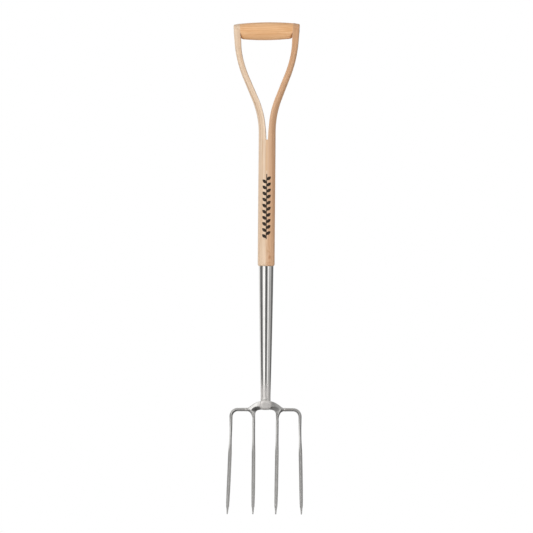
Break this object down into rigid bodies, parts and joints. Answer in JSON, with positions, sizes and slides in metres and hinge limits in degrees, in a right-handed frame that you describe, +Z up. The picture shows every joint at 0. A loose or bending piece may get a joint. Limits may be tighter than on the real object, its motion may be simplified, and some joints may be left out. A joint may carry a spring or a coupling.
{
  "type": "digging fork",
  "caption": "Garden digging fork with a split wooden D handle, a tapered steel socket and a head of slim curved tines with level shoulders.",
  "frame": {"origin": "middle of the grip's underside, where a hook or the fingers carry the tool", "axes": "+Z up along the shaft from the tines to the grip, +X across the head to the right of someone facing the front, -Y the front, the hollow side of the tines"},
  "size_m": [0.1714, 0.0772, 1.1006],
  "materials": {
    "ash": "pale ash, sanded smooth with a thin satin coat of wax",
    "ash_grip": "warm ash, sanded smooth with a thin satin coat of wax",
    "ash_spline": "ash strip, sanded flush",
    "polished_steel": "stainless steel, polished bright along its length, satin at the foot",
    "forged_steel": "stainless steel, forged and polished",
    "satin_weld": "stainless steel weld, ground to satin",
    "rivet_steel": "steel, ground flush"
  },
  "bodies": {
    "root": {"ash_shaft": "ash", "crotch_spline": "ash_spline", "grip": "ash_grip", "grip_pin": "rivet_steel", "pin_washer_left": "rivet_steel", "pin_washer_right": "rivet_steel", "socket": "polished_steel", "socket_rivet_upper": "rivet_steel", "socket_rivet_lower": "rivet_steel", "head_yoke": "forged_steel", "outer_tine_left": "forged_steel", "outer_tine_right": "forged_steel", "neck_weld": "satin_weld", "shoulder_weld_left": "satin_weld", "shoulder_weld_right": "satin_weld"}
  },
  "joints": []
}
